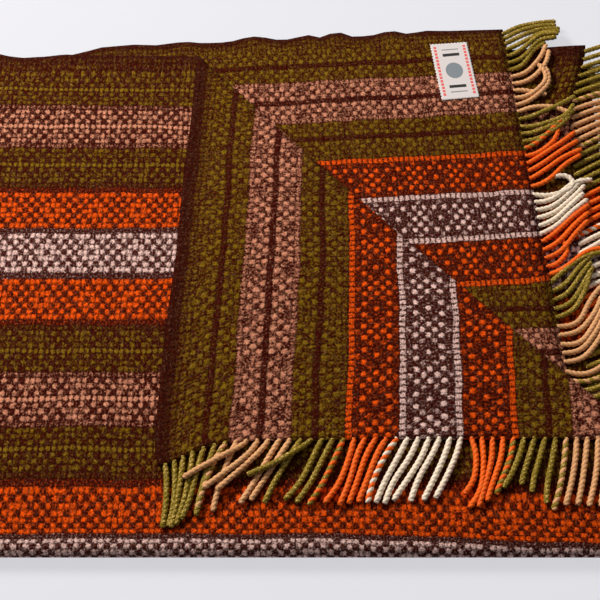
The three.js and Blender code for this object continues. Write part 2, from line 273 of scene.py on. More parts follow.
# %% Grid of the cloth
CORNER_COLUMNS = 76
LEFT_COLUMNS = 44
FOLD_COLUMNS = 8
UNDER_COLUMNS = 56
CORNER_ROWS = 80
OPEN_ROWS = 15
FOLD_ROWS = 30
NEAR_HALF_ROWS = 44
FOLD_REACH_X = 5.0
FOLD_REACH_Y = 24.0
CREASE_DRAW = 0.75
CREASE_DRAW_WIDTH = 22.0
FOOT_P = CREASE_FOOT[1] - NEAR_FOLD_Y + TOP_ARC


def joined_steps(*stretches):
    """Even steps over stretches that follow each other: start, stop and steps of each."""
    places = [np.linspace(start, stop, steps, endpoint=False) for start, stop, steps in stretches]
    return np.concatenate([*places, [stretches[-1][1]]])


row_p = joined_steps(
    (HALF_WIDTH, FOOT_P, CORNER_ROWS),
    (FOOT_P, FOLD_REACH_Y, OPEN_ROWS),
    (FOLD_REACH_Y, -FOLD_REACH_Y, FOLD_ROWS),
    (-FOLD_REACH_Y, -HALF_WIDTH, NEAR_HALF_ROWS),
)
column_share = joined_steps(
    (0, 1, CORNER_COLUMNS),
    (1, 2, LEFT_COLUMNS),
    (2, 3, FOLD_COLUMNS),
    (3, 4, UNDER_COLUMNS),
)
share, p = np.meshgrid(column_share, row_p, indexing="ij")
fold_x = LEFT_FOLD_X - p * math.tan(LEFT_FOLD_SKEW)
stations = [np.full(p.shape, FIRST_END_X), np.full(p.shape, CREASE_TIP[0]), fold_x + FOLD_REACH_X]
stations += [fold_x - FOLD_REACH_X, np.full(p.shape, FIRST_END_X - CLOTH_LENGTH)]
stretch = np.minimum(share.astype(int), 3)
start_x = np.choose(stretch, stations[:4])
stop_x = np.choose(stretch, stations[1:])
x = start_x + (stop_x - start_x) * (share - stretch)

# Lines beside the slanting crease draw close to it, and slide along the cloth's edges
distance = beyond_crease(x, p - TOP_ARC + NEAR_FOLD_Y)
drawn = -distance * CREASE_DRAW * np.exp(-((distance / CREASE_DRAW_WIDTH) ** 2))
drawn = np.where((share <= 2) & (p > FOLD_REACH_Y), drawn, 0)
row_share = (np.arange(len(row_p)) / CORNER_ROWS)[None, :]
sideways = share / (share + row_share + 1e-9)
x = x + sideways * drawn / CREASE_SIDE[0]
slant = np.where(share > 3, (LEFT_FOLD_X - x) * math.tan(2 * LEFT_FOLD_SKEW), 0)
p = p + (1 - sideways) * drawn / CREASE_SIDE[1] - slant * (1 - np.abs(p) / HALF_WIDTH)
grid_along = FIRST_END_X - x
grid_across = HALF_WIDTH - p
print("cloth grid", grid_along.shape)

# %% [markdown]
# The stripes run along the cloth. A weaver counts them in threads, so each place of the grid also gets a
# weave place: its column, counted from the far selvage, and its row, counted from the first end. The turned
# corner hangs a little longer than the rest, the stripes drift near the folds, and along the far edge a few
# threads are rolled under. All are small eases of these counts, not of the shape.

# %% Weave places of the grid
WEAVE_COLUMNS = 181
SELVAGE_COLUMNS = 3
PLAIN_COLUMNS = 2
ROW_PITCH = 6.75
FLAP_STRETCH = 1.07
STRIPE_EASES = (
    dict(by=6.0, begins=(290, 400), ends=(640, 690)),
    dict(by=6.0, begins=(580, 650), ends=(655, 690)),
)
END_SLIDE = dict(by=15.0, begins=(560, 660), ends=(705, 790))
END_SLIDE_FADES = (60, 394)
TUCKED_EDGE = {TOP: 11.0, SECOND: 8.0}
TUCKED_EDGE_FADES = 50.0


def eased_by(band, across):
    return band["by"] * smooth(across, *band["begins"]) * (1 - smooth(across, *band["ends"]))


def weave_place(along, across, layer):
    """Column and row of the weave at these distances from the far selvage and the first end."""
    half = np.minimum(across, CLOTH_WIDTH - across)
    eased = half
    for band in STRIPE_EASES:
        eased = eased - eased_by(band, half)
    across = np.where(across <= HALF_WIDTH, eased, CLOTH_WIDTH - eased)
    across = across - eased_by(END_SLIDE, across) * (1 - smooth(along, *END_SLIDE_FADES))
    crease_x = CREASE_TIP[0] + (CREASE_FOOT[0] - CREASE_TIP[0]) * across / (TOP_FAR_Y - CREASE_FOOT[1])
    crease_along = FIRST_END_X - crease_x
    on_flap = crease_along + (along - crease_along) / FLAP_STRETCH
    along = np.where(layer == FLAP, on_flap, along)
    for tucked_layer, tuck in TUCKED_EDGE.items():
        hidden = tuck * (1 - smooth(across, 0, TUCKED_EDGE_FADES))
        across = np.where(layer == tucked_layer, across + hidden, across)
    return across / CLOTH_WIDTH * WEAVE_COLUMNS, along / ROW_PITCH


grid_layer = folded(grid_along, grid_across)[1]
weave_column, weave_row = weave_place(grid_along, grid_across, grid_layer)
print("weave rows", int(weave_row.max()), "columns", WEAVE_COLUMNS)

# %% [markdown]
# Points and faces are easiest to work out as arrays. One helper makes a smooth mesh object from them. The
# other lists the faces of a sheet with two sides and a rim, for the cloth and, turned over, the label.

# %% Make a mesh object from arrays
def mesh_object(name, points, faces, material_of_face=None, uv=None, yarn_and_groove_shade=None):
    mesh = bpy.data.meshes.new(name)
    mesh.from_pydata(points.tolist(), [], [list(map(int, face)) for face in faces])
    if material_of_face is not None:
        mesh.polygons.foreach_set("material_index", np.asarray(material_of_face, np.int32))
    if uv is not None:
        corner = np.empty(len(mesh.loops), np.int32)
        mesh.loops.foreach_get("vertex_index", corner)
        mesh.uv_layers.new(name="weave place").data.foreach_set("uv", uv[corner].astype(np.float32).ravel())
    if yarn_and_groove_shade is not None:
        colours = np.column_stack([yarn_and_groove_shade, np.ones(len(yarn_and_groove_shade))]).astype(np.float32)
        mesh.attributes.new("yarn_and_groove_shade", "FLOAT_COLOR", "POINT").data.foreach_set("color", colours.ravel())
    mesh.shade_smooth()
    mesh.validate()
    made = bpy.data.objects.new(name, mesh)
    bpy.context.collection.objects.link(made)
    return made


def sheet_faces(columns, rows, turned_over=False):
    """Faces of both sides and the rim, for the points of one side after the other."""
    size = columns * rows
    number = np.arange(size).reshape(columns, rows)
    corners = [number[:-1, :-1], number[1:, :-1], number[1:, 1:], number[:-1, 1:]]
    first_side = np.stack(corners, -1).reshape(-1, 4)
    second_side = first_side[:, [0, 3, 2, 1]]
    rim = np.concatenate([number[:-1, 0], number[-1, :-1], number[:0:-1, -1], number[0, :0:-1]])
    rim_next = np.roll(rim, -1)
    if turned_over:
        first_side, second_side = second_side, first_side
        rim, rim_next = rim_next, rim
    return first_side, second_side + size, np.stack([rim_next, rim, rim + size, rim_next + size], -1)


# %% Cloth mesh
outer_face, inner_face, rim_face = sheet_faces(*grid_along.shape)
half = CLOTH_THICKNESS / 2
cloth_points = np.concatenate([
    cloth_surface(grid_along, grid_across, half).reshape(-1, 3),
    cloth_surface(grid_along, grid_across, -half).reshape(-1, 3),
])
cloth_uv = np.tile(np.column_stack([weave_column.ravel(), weave_row.ravel()]), (2, 1))
cloth_faces = np.concatenate([outer_face, inner_face, rim_face])
face_side = np.repeat([0, 1, 0], [len(outer_face), len(inner_face), len(rim_face)])
cloth = mesh_object("striped_cloth", cloth_points, cloth_faces, face_side, cloth_uv)
print("cloth faces", len(cloth_faces))

# %% [markdown]
# Next come the yarn colours and small helpers for wiring shader nodes. Colours are written as a screen
# shows them and turned into the linear values that a renderer works with.

# %% Yarn colours and node helpers
def linear(red, green, blue):
    values = np.array([red, green, blue]) / 255
    low = values / 12.92
    high = ((values + 0.055) / 1.055) ** 2.4
    return tuple(float(v) for v in np.where(values <= 0.04045, low, high))


ORANGE = linear(229, 80, 6)
WHITE = linear(225, 185, 174)
OLIVE = linear(115, 86, 12)
TAN = linear(191, 123, 95)
BROWN = linear(56, 8, 2)
SELVAGE_BROWN = linear(49, 10, 2)
FIBRE = linear(226, 182, 140)


def put(tree, socket, value):
    if isinstance(value, bpy.types.NodeSocket):
        tree.links.new(value, socket)
    else:
        socket.default_value = value


def maths(tree, operation, *values):
    node = tree.nodes.new("ShaderNodeMath")
    node.operation = operation
    for socket, value in zip(node.inputs, values):
        put(tree, socket, value)
    return node.outputs[0]


def mixed(tree, factor, first, second, blend="MIX"):
    node = tree.nodes.new("ShaderNodeMix")
    node.data_type = "RGBA"
    node.blend_type = blend
    put(tree, node.inputs[0], factor)
    for socket, colour in zip(node.inputs[6:8], (first, second)):
        put(tree, socket, (*colour, 1.0) if isinstance(colour, tuple) else colour)
    return node.outputs[2]


def noise(tree, place, scale, detail):
    node = tree.nodes.new("ShaderNodeTexNoise")
    put(tree, node.inputs["Vector"], place)
    node.inputs["Scale"].default_value = scale
    node.inputs["Detail"].default_value = detail
    node.inputs["Roughness"].default_value = 0.6
    return node


def softly(tree, value, low, high):
    """The soft step again, as a node."""
    node = tree.nodes.new("ShaderNodeMapRange")
    node.interpolation_type = "SMOOTHSTEP"
    put(tree, node.inputs["Value"], value)
    node.inputs["From Min"].default_value = low
    node.inputs["From Max"].default_value = high
    return node.outputs["Result"]


def moved(tree, place, colour, amount):
    """A place pushed about sideways by a colour noise."""
    centred = tree.nodes.new("ShaderNodeVectorMath")
    centred.operation = "SUBTRACT"
    put(tree, centred.inputs[0], colour)
    centred.inputs[1].default_value = (0.5, 0.5, 0.5)
    added = tree.nodes.new("ShaderNodeVectorMath")
    added.operation = "MULTIPLY_ADD"
    put(tree, added.inputs[0], centred.outputs[0])
    added.inputs[1].default_value = (amount, amount, 0.0)
    put(tree, added.inputs[2], place)
    return added.outputs[0]


def grey(tree, value):
    node = tree.nodes.new("ShaderNodeCombineColor")
    for socket in node.inputs:
        put(tree, socket, value)
    return node.outputs[0]


def uv_place(tree):
    node = tree.nodes.new("ShaderNodeUVMap")
    node.uv_map = "weave place"
    return node.outputs[0]


# %% [markdown]
# The cloth is a double weave: a coloured layer and a brown layer change places cell by cell, so what is
# coloured on one face is brown on the other. The pattern repeats every eight rows and is mirrored about
# the middle of each stripe, so it can be charted in two small tables. Each line is a row, counted
# from the middle of the repeat, and each mark a column, counted from the middle of the stripe: 1 is
# colour on the inner face, 0 is brown, and h is a broken cell. Both faces use the pattern, so it is a
# node group.

# %% Charts of the weave
BOLD_CHART = ("010h1", "10101", "0h001", "00101", "100h1")
QUIET_CHART = ("0101h", "0010h", "0101h", "00h0h", "0100h")
MARKS = {"0": 0.0, "h": 0.5, "1": 1.0}
CHART_SIDE = len(BOLD_CHART)
REPEAT_ROWS = 8.0
REPEAT_MIDDLE = 4.0
BLOCK_COLUMNS = 25.0
CENTRE_FROM = 7.5
CENTRE_TO = 16.5
STRIPE_STEP = 8.0
STRIPE_MIDDLE = 4.0
STRIPE_RIM = 3.5


def chart_ramp(tree, chart, place):
    marks = "".join(chart)
    ramp = tree.nodes.new("ShaderNodeValToRGB")
    ramp.color_ramp.interpolation = "CONSTANT"
    elements = ramp.color_ramp.elements
    elements.remove(elements[1])
    before = None
    for index, mark in enumerate(marks):
        if mark == before:
            continue
        element = elements[0] if index == 0 else elements.new(index / len(marks))
        element.position = index / len(marks)
        element.color = (MARKS[mark], MARKS[mark], MARKS[mark], 1.0)
        before = mark
    put(tree, ramp.inputs[0], place)
    return ramp.outputs[0]


# %% Node group of the woven stripes
weave = bpy.data.node_groups.new("woven stripes", "ShaderNodeTree")
weave.interface.new_socket("Weave place", in_out="INPUT", socket_type="NodeSocketVector")
weave.interface.new_socket("Outer face", in_out="INPUT", socket_type="NodeSocketFloat")
weave.interface.new_socket("Color", in_out="OUTPUT", socket_type="NodeSocketColor")
weave.interface.new_socket("Relief", in_out="OUTPUT", socket_type="NodeSocketFloat")
given = weave.nodes.new("NodeGroupInput")
shown = weave.nodes.new("NodeGroupOutput")
even_place = given.outputs["Weave place"]
on_outer = given.outputs["Outer face"]
plus = partial(maths, weave, "ADD")
minus = partial(maths, weave, "SUBTRACT")
times = partial(maths, weave, "MULTIPLY")
times_plus = partial(maths, weave, "MULTIPLY_ADD")
over = partial(maths, weave, "GREATER_THAN")
under = partial(maths, weave, "LESS_THAN")
unsigned = partial(maths, weave, "ABSOLUTE")
whole = partial(maths, weave, "FLOOR")
remainder = partial(maths, weave, "FLOORED_MODULO")
zigzag = partial(maths, weave, "PINGPONG")
soft = partial(softly, weave)
print("sockets", [socket.name for socket in weave.interface.items_tree])

# %% Loosen the cells
# The stripes drift a little along the cloth, and their cells have soft, wandering edges
DRIFT = dict(scale=0.1, reach=1.0)
WANDER = dict(scale=0.9, reach=0.3)
RAGGED = dict(scale=4.2, reach=0.42)


def loosened(place, source, by):
    colour = noise(weave, source, by["scale"], 1.0).outputs["Color"]
    return moved(weave, place, colour, by["reach"])


place = loosened(even_place, even_place, DRIFT)
split = weave.nodes.new("ShaderNodeSeparateXYZ")
put(weave, split.inputs[0], loosened(loosened(place, place, WANDER), place, RAGGED))
column = whole(split.outputs[0])
row = whole(split.outputs[1])
across_cell = minus(maths(weave, "FRACT", split.outputs[0]), 0.5)
along_cell = minus(maths(weave, "FRACT", split.outputs[1]), 0.5)

# %% Which stripe, and how far from its middle
last_body = WEAVE_COLUMNS - 2.0 * SELVAGE_COLUMNS - 1.0
body = minus(column, float(SELVAGE_COLUMNS))
body = maths(weave, "MINIMUM", maths(weave, "MAXIMUM", body, 0.0), last_body)
step = remainder(body, BLOCK_COLUMNS)
block = whole(maths(weave, "DIVIDE", body, BLOCK_COLUMNS))
bold = remainder(block, 2.0)
quiet = minus(1.0, bold)
second = over(step, CENTRE_FROM)
third = over(step, CENTRE_TO)
in_centre = minus(second, third)
middle = times_plus(plus(second, third), STRIPE_STEP, STRIPE_MIDDLE)
from_middle = unsigned(minus(step, middle))
at_rim = over(from_middle, STRIPE_RIM)
print("stripes repeat every", int(2 * BLOCK_COLUMNS), "columns")

# %% Look the cell up in its chart
# Some broken cells of the bold stripes stay brown on the outer face, and the selvages are plain
BROKEN_BROWN = 0.8
repeat = unsigned(minus(remainder(row, REPEAT_ROWS), REPEAT_MIDDLE))
index = times_plus(repeat, float(CHART_SIDE), plus(from_middle, 0.5))
chart_place = maths(weave, "DIVIDE", index, float(CHART_SIDE * CHART_SIDE))
bold_cell = chart_ramp(weave, BOLD_CHART, chart_place)
quiet_cell = chart_ramp(weave, QUIET_CHART, chart_place)
cell = mixed(weave, bold, quiet_cell, bold_cell)
broken = times(zigzag(cell, 0.5), times(bold, BROKEN_BROWN))
on_this_face = minus(unsigned(minus(on_outer, cell)), times(broken, on_outer))
past_selvage = over(column, PLAIN_COLUMNS - 0.5)
before_selvage = under(column, WEAVE_COLUMNS - PLAIN_COLUMNS - 0.5)
coloured = times(on_this_face, times(past_selvage, before_selvage))

# %% Tufts and ladders
# A cell is a round tuft of yarn, lower at its edge, where more brown shows and painted shade darkens it.
# Bold stripes are edged with a ladder, whose rungs are three short stitches side by side
TUFT_EDGE = (0.2, 0.6)
RUNG_EDGE = (0.22, 0.46)
RUNG_SIDE = (0.36, 0.5)
RUNG_STITCHES = 3.0
STITCH_EDGE = (0.02, 0.3)
TUFT_SHARE = 0.8
radius = maths(weave, "SQRT", times_plus(across_cell, across_cell, times(along_cell, along_cell)))
tuft = minus(1.0, soft(radius, *TUFT_EDGE))
rung = minus(1.0, soft(unsigned(along_cell), *RUNG_EDGE))
side = minus(1.0, soft(unsigned(across_cell), *RUNG_SIDE))
stitch = zigzag(times(split.outputs[0], RUNG_STITCHES), 0.5)
stitch = times_plus(soft(stitch, *STITCH_EDGE), 0.5, 0.5)
ladder = times(times(rung, side), stitch)
form = times_plus(times(at_rim, bold), minus(ladder, tuft), tuft)
amount = times(coloured, times_plus(form, TUFT_SHARE, 1 - TUFT_SHARE))

# %% Outer face of the bold stripes
# There the coloured cells run together, and brown makes the tufts
BROWN_TUFT_EDGE = (0.42, 0.74)
GROUND = dict(tuft=0.52, edge=0.32, round_brown=0.36)
brown_edge = soft(radius, *BROWN_TUFT_EDGE)
ground = times(coloured, times_plus(tuft, GROUND["tuft"], GROUND["edge"]))
round_brown = times(minus(1.0, coloured), times(brown_edge, GROUND["round_brown"]))
outer_bold = times(times(bold, on_outer), under(from_middle, STRIPE_RIM))
amount = times_plus(outer_bold, minus(plus(ground, round_brown), amount), amount)

# %% Specks of the other yarn
# They show through every cell, most in the quiet stripes. Clearness says how well a cell keeps its colour,
# and fullness how much colour the quiet stripes have in all
CLEARNESS = dict(all=0.55, quiet=0.05, olive=-0.2, centre_line=0.4)
FULLNESS = dict(all=0.11, outer_face=-0.16, olive=-0.06, border=-0.09)
SPECKS = dict(scale=2.7, spread=1.95, in_bold=-0.55)
PATCHES = dict(scale=0.7, spread=0.7)
LEAN = -0.01
MASK_EDGE = (-0.36, 0.4)
WHITE_EDGE = (0.04, 0.94)
WHITE_CRISP = 0.5
olive_part = times(quiet, minus(1.0, in_centre))
centre_line = times(under(from_middle, 0.5), quiet)
clear = times_plus(olive_part, CLEARNESS["olive"], CLEARNESS["all"])
clear = times_plus(quiet, CLEARNESS["quiet"], clear)
clear = times_plus(centre_line, CLEARNESS["centre_line"], clear)
full = times_plus(on_outer, FULLNESS["outer_face"], FULLNESS["all"])
full = times_plus(times(at_rim, quiet), FULLNESS["border"], full)
full = times_plus(olive_part, FULLNESS["olive"], full)
patch = minus(noise(weave, place, PATCHES["scale"], 1.0).outputs["Fac"], 0.5)
lean = times_plus(minus(amount, 0.5), clear, LEAN)
lean = times_plus(quiet, full, lean)
lean = times_plus(quiet, times(patch, PATCHES["spread"]), lean)
speck = minus(noise(weave, place, SPECKS["scale"], 2.0).outputs["Fac"], 0.5)
spread = times_plus(bold, SPECKS["in_bold"], SPECKS["spread"])
mask = soft(times_plus(speck, spread, lean), *MASK_EDGE)
crisp = minus(soft(mask, *WHITE_EDGE), mask)
mask = times_plus(times(times(bold, in_centre), WHITE_CRISP), crisp, mask)
print("weave group nodes so far", len(weave.nodes))

# %% Colours of the weave
# The yarn is heathered by a fine noise, and pale fibres stand out here and there, most in the tan. The
# tufts also get painted shade towards their edges
SELVAGE_FADES = (0.8, 3.6)
FLECK_SCALE = 6.0
FLECK_EDGE = (0.75, 1.0)
FLECK_SHARE = dict(all=0.06, tan=0.3)
HEATHER_SCALE = 3.6
TONE_AND_PAINTED_SHADE = dict(all=-0.25, tuft=0.25, heather=1.5, fleck=0.55)
HEATHER_RELIEF = 0.9
quiet_yarn = mixed(weave, in_centre, OLIVE, TAN)
bold_yarn = mixed(weave, in_centre, ORANGE, WHITE)
colour = mixed(weave, mask, BROWN, mixed(weave, bold, quiet_yarn, bold_yarn))
first_edge = soft(split.outputs[0], *SELVAGE_FADES)
last_edge = soft(split.outputs[0], *[WEAVE_COLUMNS - fade for fade in reversed(SELVAGE_FADES)])
colour = mixed(weave, minus(first_edge, last_edge), SELVAGE_BROWN, colour)
flecks = weave.nodes.new("ShaderNodeTexVoronoi")
put(weave, flecks.inputs["Vector"], place)
flecks.inputs["Scale"].default_value = FLECK_SCALE
fleck = weave.nodes.new("ShaderNodeSeparateColor")
put(weave, fleck.inputs[0], flecks.outputs["Color"])
in_tan = times(times(quiet, in_centre), mask)
stray = soft(fleck.outputs[0], *FLECK_EDGE)
stray = times(stray, times_plus(in_tan, FLECK_SHARE["tan"], FLECK_SHARE["all"]))
colour = mixed(weave, stray, colour, FIBRE)
heather = noise(weave, place, HEATHER_SCALE, 2.0).outputs["Fac"]
# Painted shade: the tuft term darkens each cell towards its edge, where it dips between cells, on top of
# the heathered tone
shade = times_plus(heather, TONE_AND_PAINTED_SHADE["heather"], times_plus(tuft, TONE_AND_PAINTED_SHADE["tuft"], TONE_AND_PAINTED_SHADE["all"]))
shade = times_plus(fleck.outputs[1], TONE_AND_PAINTED_SHADE["fleck"], shade)
put(weave, shown.inputs["Color"], mixed(weave, 1.0, colour, grey(weave, shade), "MULTIPLY"))
put(weave, shown.inputs["Relief"], times_plus(heather, HEATHER_RELIEF, form))
print("weave group nodes", len(weave.nodes))

# %% [markdown]
# Both faces of the cloth are the same soft, matt wool. They differ only in which side of the pattern they
# show, so two materials share the group, each with its own value for the face.

# %% Cloth materials
WOOL_ROUGHNESS = 0.95
WOOL_SPECULAR = 0.04
WOOL_RELIEF = dict(strength=0.7, depth=0.9 * MM)


def matt_material(name, roughness=WOOL_ROUGHNESS, specular=WOOL_SPECULAR):
    material = bpy.data.materials.new(name)
    material.use_nodes = True
    shader = material.node_tree.nodes["Principled BSDF"]
    shader.inputs["Roughness"].default_value = roughness
    shader.inputs["Specular IOR Level"].default_value = specular
    return material, material.node_tree, shader


def relief(tree, shader, height, strength, depth):
    bump = tree.nodes.new("ShaderNodeBump")
    bump.inputs["Strength"].default_value = strength
    bump.inputs["Distance"].default_value = depth
    put(tree, bump.inputs["Height"], height)
    put(tree, shader.inputs["Normal"], bump.outputs[0])


for name, outer in (("wool outer face", 1.0), ("wool inner face", 0.0)):
    material, tree, shader = matt_material(name)
    group = tree.nodes.new("ShaderNodeGroup")
    group.node_tree = weave
    put(tree, group.inputs["Weave place"], uv_place(tree))
    group.inputs["Outer face"].default_value = outer
    put(tree, shader.inputs["Base Color"], group.outputs["Color"])
    relief(tree, shader, group.outputs["Relief"], **WOOL_RELIEF)
    cloth.data.materials.append(material)
print("cloth materials", [m.name for m in cloth.data.materials])

# %% [markdown]
# Each fringe strand is two plies twisted round each other, spun from the warp ends of the stripe it
# leaves, so its colour follows that stripe, and a strand on the border of two stripes has one ply of
# each. A strand is drawn as two thin tubes that wind along one path. For each stretch of fringe a short
# table lists, by the place across the cloth, the way a strand leaves the cloth, the way its middle and
# its tip point, how far it is lifted where it crosses others, and its share of the full length. Strands
# between two rows of a table are worked out from both. Angles are in degrees, anticlockwise from straight
# out. The last table says at which end of the cloth each stretch lies, where it begins and stops, and how
# far its strands drop or are raised.

# %% Stretches of fringe
STRAND_PITCH = 11.7
STRAND_LENGTH = 86.0
PATH_STEPS = 60
ROOT_INSET = 2.0
TURN_COLUMNS = ("across", "start", "middle", "tip", "lift", "length")
FLAP_TURNS = (
    (9, 2, -2, -12, 0, 0.85), (21, 2, -2, -15, 0, 0.9), (33, -2, -5, -11, 0, 0.97),
    (45, -3, -5, -14, 0, 1.0), (57, -12, -6, -20, 1, 1.0), (69, -14, -8, -5, 0, 1.0),
    (81, -28, -16, -10, 0.5, 1.0), (93, -20, -12, -8, 0, 1.0), (105, -48, -56, -57, 7, 0.95),
    (117, -25, -48, -47, 5.5, 0.98), (129, -30, -43, -45, 4, 0.95), (140, -26, -25, -30, 1, 1.0),
    (152, -30, -28, -28, 0, 1.0), (164, -28, -25, -20, 0, 1.0), (176, -48, -58, -60, 7, 1.0),
    (188, -27, -24, -35, 0, 0.95), (212, -20, -22, -32, 0, 1.0), (224, -15, -18, -32, 0, 1.0),
    (236, -28, -12, -18, 0, 1.0), (260, -32, -16, -18, 0, 0.98), (272, -34, -22, -10, 0, 0.98),
    (284, -24, -26, -20, 0, 0.98), (296, -20, -32, -18, 0, 1.0), (308, -20, -28, -32, 0, 1.0),
    (320, -20, -25, -20, 0, 0.96), (344, -14, -22, -28, 0, 0.92), (356, 18, -5, -35, 1, 0.82),
    (368, 4, -5, -35, 0, 1.0), (380, -3, -14, -17, 0, 0.98), (403, -12, -22, -17, 1, 0.82),
    (415, -15, -24, -33, 1.5, 0.76), (427, -18, -20, -15, 0, 0.7), (439, -20, -18, -10, 0, 0.78),
    (451, -12, -14, -6, 0, 0.92), (463, -8, -13, -20, 0, 1.0), (487, -10, -12, -16, 0, 0.96),
    (541, -8, -10, -12, 0, 1.0),
)
SECOND_TURNS = (
    (9, 25, 14, 2, 2, 0.9), (33, 25, 20, -4, 2.5, 0.95), (56, 16, 45, -3, 4, 1.0),
    (68, 14, 52, 5, 2, 1.0), (80, 12, 58, 30, 1, 0.85), (92, 5, 50, 66, 1, 0.95),
    (103, 0, 50, 76, 2, 1.0), (115, 8, -14, -28, 0, 0.5), (127, 0, 45, 118, 3, 1.0),
    (139, 10, 45, 97, 2, 1.0), (151, 18, 0, -36, 1.5, 0.85), (163, 4, 25, 36, 3, 1.0),
    (174, -10, 18, 55, 4, 1.0), (186, 0, 25, 42, 3, 1.0), (198, 0, 35, 42, 2, 0.9),
    (210, 20, 45, 46, 3, 0.95), (222, 5, 40, 72, 1, 0.8), (233, 25, 35, 38, 1.5, 1.0),
    (257, 25, 38, 20, 1.5, 1.0), (269, 10, 46, 28, 2.5, 1.0), (281, -12, 25, 180, 2.5, 1.05),
    (293, -3, 42, 0, 2, 1.0), (304, 0, 40, 50, 1, 0.95), (328, 15, 42, 40, 1, 0.95),
    (340, 20, 42, 35, 1, 1.0), (352, 28, 42, 35, 1.5, 1.0), (375, 15, 50, 40, 1.5, 0.95),
    (387, 0, 45, 110, 0, 0.6), (399, 15, 38, 4, 2, 1.0), (411, 38, 35, 8, 2, 1.0),
    (423, 20, 50, 40, 1, 0.9), (446, 10, 55, 55, 0.5, 0.95), (458, 12, 60, 70, 1, 1.0),
    (470, -5, 60, 45, 0, 1.0), (482, 0, 50, 60, 0, 1.0), (493, -10, 52, 60, 0, 1.0),
    (517, 0, 50, 65, 0, 1.0), (529, -25, 30, 76, 1, 1.0), (541, -15, 25, 60, 0, 1.0),
    (600, 0, 25, 50, 0, 1.0), (736, 0, 15, 30, 0, 1.0),
)
THIRD_TURNS = (
    (754, 4, 10, 14, 0, 1.0), (1000, 26, 28, 30, 0, 1.0), (1230, 30, 30, 28, 0, 1.0),
    (1300, 22, 20, 18, 0, 1.0), (1377, 20, 20, 18, 0, 1.0),
)
TOP_TURNS = ((568, -3, -6, -9, 0, 1.0), (687, 2, 4, 6, 0, 1.0))
BOTTOM_TURNS = ((708, 2, 4, 6, 0, 1.0), (1000, 10, 16, 22, 0, 1.0), (1377, 14, 22, 30, 0, 1.0))
FRINGES = named_rows(
    "node end first last drop raised turns",
    ("fringe_turned_corner", 0.0, 3.0, 541.0, -1.1, 0.0, FLAP_TURNS),
    ("fringe_top_layer", 0.0, 568.0, 687.0, -7.5, 0.0, TOP_TURNS),
    ("fringe_bottom_layer", 0.0, 708.0, 1377.0, 0.0, 1.5, BOTTOM_TURNS),
    ("fringe_second_layer", CLOTH_LENGTH, 3.0, 736.0, -0.5, 0.0, SECOND_TURNS),
    ("fringe_third_layer", CLOTH_LENGTH, 754.0, 1377.0, -0.5, 0.0, THIRD_TURNS),
)
FRINGE_ORANGE = linear(238, 94, 2)
FRINGE_WHITE = linear(240, 220, 196)
FRINGE_OLIVE = linear(126, 104, 12)
FRINGE_TAN = linear(216, 158, 108)
FRINGE_FLECK = linear(250, 206, 122)
STRAND_CENTRE = (8, 17.6)
OUT_OF_CLOTH = (-0.12, 0.08)
TO_MIDDLE = (0.02, 0.52)
TO_TIP = (0.5, 0.95)
LIFTED_OVER = (0.05, 0.4)
WAVE_TURNS = 5.0
WAVE_STARTS = 40


def strand_colour(column):
    """Colour of the warp at a weave column."""
    body = min(max(column - SELVAGE_COLUMNS, 0), WEAVE_COLUMNS - 2 * SELVAGE_COLUMNS - 1)
    centre = STRAND_CENTRE[0] <= body % BLOCK_COLUMNS < STRAND_CENTRE[1]
    if int(body // BLOCK_COLUMNS) % 2:
        return FRINGE_WHITE if centre else FRINGE_ORANGE
    return FRINGE_TAN if centre else FRINGE_OLIVE


def strand_path(fringe, turn, length, wave):
    """Centre of a strand, from just inside the cloth's end to its tip, in millimetres on the plan."""
    outward = -1 if fringe["end"] == 0 else 1
    root = folded(np.array(fringe["end"] - outward * ROOT_INSET), np.array(turn["across"]))[0]
    ahead = folded(np.array(fringe["end"] + outward * ROOT_INSET), np.array(turn["across"]))[0]
    share = np.linspace(0, 1, PATH_STEPS)
    lean = turn["start"] + (turn["middle"] - turn["start"]) * smooth(share, *TO_MIDDLE)
    lean = np.radians(lean + (turn["tip"] - turn["middle"]) * smooth(share, *TO_TIP))
    heading = math.atan2(ahead[1] - root[1], ahead[0] - root[0]) + lean * smooth(share, *OUT_OF_CLOTH)
    heading = heading + wave * np.sin(share * WAVE_TURNS + wave * WAVE_STARTS)
    step = length / (PATH_STEPS - 1)
    x = root[0] + np.concatenate([[0], np.cumsum(np.cos(heading[1:]))]) * step
    y = root[1] + np.concatenate([[0], np.cumsum(np.sin(heading[1:]))]) * step
    drop = fringe["drop"] * smooth(share, 0, 1)
    z = root[2] + fringe["raised"] + drop + turn["lift"] * smooth(share, *LIFTED_OVER)
    return np.stack([x, y, z], -1), np.stack([-np.sin(heading), np.cos(heading), np.zeros(PATH_STEPS)], -1)


# %% Strands of two plies
# Both plies grow thinner at the root and at the tip, where they also part a little
PLY_RADIUS = 2.9
PLY_OFFSET = 0.65
PLY_PITCH = 12.0
PLY_SIDES = 8
RING = np.linspace(0, 2 * math.pi, PLY_SIDES, endpoint=False)
TIP_TAPER = dict(by=0.3, over=4.0)
ROOT_TAPER = dict(by=0.1, over=12.0)
TIP_SPLAY = dict(by=0.5, over=7.0)
PAINTED_GROOVE_SHADE = 0.74
PAINTED_GROOVE_SHADE_EDGE = (-0.3, 0.6)
LIFT_VARIES = (0.0, 1.0)
LENGTH_VARIES = (0.97, 1.03)
WAVE_VARIES = 0.04
TWIST_VARIES = (0, 6.28)
TINT_VARIES = (0.9, 1.08)


def ply_tube(path, side, up, twist, radius, offset):
    """Points of one ply wound round a path, ring after ring."""
    centre = path + offset[:, None] * (np.cos(twist)[:, None] * side + np.sin(twist)[:, None] * up)
    ring = np.cos(RING)[None, :, None] * side[:, None, :] + np.sin(RING)[None, :, None] * up[:, None, :]
    return (centre[:, None, :] + radius[:, None, None] * ring).reshape(-1, 3)


